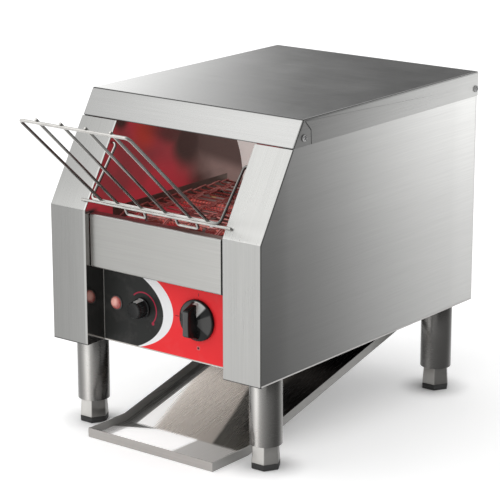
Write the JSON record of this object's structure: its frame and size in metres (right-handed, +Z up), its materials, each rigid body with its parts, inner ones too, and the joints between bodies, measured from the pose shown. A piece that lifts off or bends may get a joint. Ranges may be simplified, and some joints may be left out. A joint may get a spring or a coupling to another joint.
{
  "type": "conveyor toaster",
  "caption": "Table-top conveyor toaster: sloped feed window with a wire rack over a wire belt, recessed controls, and a toast chute under a body on round levelling legs.",
  "frame": {"origin": "on the floor under the feet, at the middle of the whole toaster's footprint", "axes": "+Z up, +Y from the front with the feed window to the back, +X to the right as seen from the front"},
  "size_m": [0.2944, 0.5493, 0.3846],
  "materials": {
    "brushed_casing": "brushed",
    "front_sheet": "brushed",
    "plain_sheet": "satin",
    "chamber_lining": "heat tinted",
    "belt_wire": "satin",
    "rack_wire": "polished",
    "shaft_steel": "turned",
    "fasteners": "plated",
    "bush_brass": "sintered",
    "motor_paint": "satin",
    "heater_quartz": "milky, glowing in use",
    "end_ceramic": "matte",
    "overlay_film": "printed",
    "knob_plastic": "gloss",
    "control_plastic": "matte",
    "terminal_plastic": "matte",
    "lamp_rim": "gloss",
    "lamp_amber": "translucent",
    "leg_steel": "brushed",
    "plug_plastic": "matte",
    "foot_metal": "satin",
    "pad_rubber": "matte"
  },
  "bodies": {
    "casing": {"base_chassis": "plain_sheet", "belt_rails": "chamber_lining", "cable_gland": "control_plastic", "chamber_ceiling": "chamber_lining", "chamber_floor": "chamber_lining", "chute_bar": "plain_sheet", "chute_brackets": "plain_sheet", "control_overlay": "overlay_film", "control_panel": "brushed_casing", "conveyor_belt": "belt_wire", "cover_screws": "fasteners", "front_panel": "front_sheet", "gear_motor": "motor_paint", "heater_end_caps": "end_ceramic", "lamp_holder": "lamp_rim", "lamp_lens": "lamp_amber", "left_chamber_wall": "chamber_lining", "left_pillar": "brushed_casing", "left_side_panel": "brushed_casing", "leg_bolts": "fasteners", "leg_plugs": "plug_plastic", "leg_tubes": "leg_steel", "lower_heaters": "heater_quartz", "motor_bracket": "plain_sheet", "power_switch": "control_plastic", "rear_deflector": "chamber_lining", "rear_panel": "brushed_casing", "right_chamber_wall": "chamber_lining", "right_pillar": "brushed_casing", "right_side_panel": "brushed_casing", "shaft_bushes": "bush_brass", "speed_control": "control_plastic", "terminal_block": "terminal_plastic", "top_cover": "brushed_casing", "upper_heaters": "heater_quartz"},
    "feed_rack": {"rack_hanger": "rack_wire", "rack_cross_rod": "rack_wire", "rack_frame": "rack_wire", "rack_wires": "rack_wire", "rack_staples": "rack_wire"},
    "drive_axle": {"drive_shaft": "shaft_steel", "drive_sprockets": "shaft_steel", "shaft_coupling": "shaft_steel", "motor_shaft": "shaft_steel"},
    "idler_axle": {"idler_shaft": "shaft_steel", "idler_sprockets": "shaft_steel"},
    "power_control": {"power_knob": "knob_plastic", "power_spindle": "shaft_steel"},
    "speed_control_knob": {"speed_knob": "knob_plastic", "speed_spindle": "shaft_steel"},
    "chute": {"toast_chute": "brushed_casing"},
    "level_foot_front_left": {"foot_front_left": "foot_metal", "foot_pad_front_left": "pad_rubber"},
    "level_foot_front_right": {"foot_front_right": "foot_metal", "foot_pad_front_right": "pad_rubber"},
    "level_foot_rear_left": {"foot_rear_left": "foot_metal", "foot_pad_rear_left": "pad_rubber"},
    "level_foot_rear_right": {"foot_rear_right": "foot_metal", "foot_pad_rear_right": "pad_rubber"}
  },
  "joints": [
    {"name": "feed_rack_lift", "type": "hinge", "parent": "casing", "child": "feed_rack", "pos_m": [0, -0.10649, 0.32214], "axis": [-1, 0, 0], "range_deg": [0, 135]},
    {"name": "drive_turn", "type": "hinge", "parent": "casing", "child": "drive_axle", "pos_m": [0, 0.07084, 0.23141], "axis": [1, 0, 0], "continuous": true, "deforming": ["conveyor_belt"]},
    {"name": "idler_turn", "type": "hinge", "parent": "casing", "child": "idler_axle", "pos_m": [0, -0.10696, 0.23141], "axis": [1, 0, 0], "continuous": true},
    {"name": "power_knob_turn", "type": "hinge", "parent": "casing", "child": "power_control", "pos_m": [0.03895, -0.12456, 0.15], "axis": [0, 1, 0], "range_deg": [0, 270]},
    {"name": "speed_knob_turn", "type": "hinge", "parent": "casing", "child": "speed_control_knob", "pos_m": [-0.039, -0.12456, 0.149], "axis": [0, 1, 0], "range_deg": [0, 270]},
    {"name": "chute_pull", "type": "slide", "parent": "casing", "child": "chute", "axis": [0, -1, 0], "range_m": [0, 0.25]},
    {"name": "foot_front_left_screw", "type": "slide", "parent": "casing", "child": "level_foot_front_left", "axis": [0, 0, -1], "range_m": [0, 0.02]},
    {"name": "foot_front_right_screw", "type": "slide", "parent": "casing", "child": "level_foot_front_right", "axis": [0, 0, -1], "range_m": [0, 0.02]},
    {"name": "foot_rear_left_screw", "type": "slide", "parent": "casing", "child": "level_foot_rear_left", "axis": [0, 0, -1], "range_m": [0, 0.02]},
    {"name": "foot_rear_right_screw", "type": "slide", "parent": "casing", "child": "level_foot_rear_right", "axis": [0, 0, -1], "range_m": [0, 0.02]}
  ],
  "couplings": [
    {"joint": "idler_turn", "follows": "drive_turn", "ratio": 1}
  ]
}
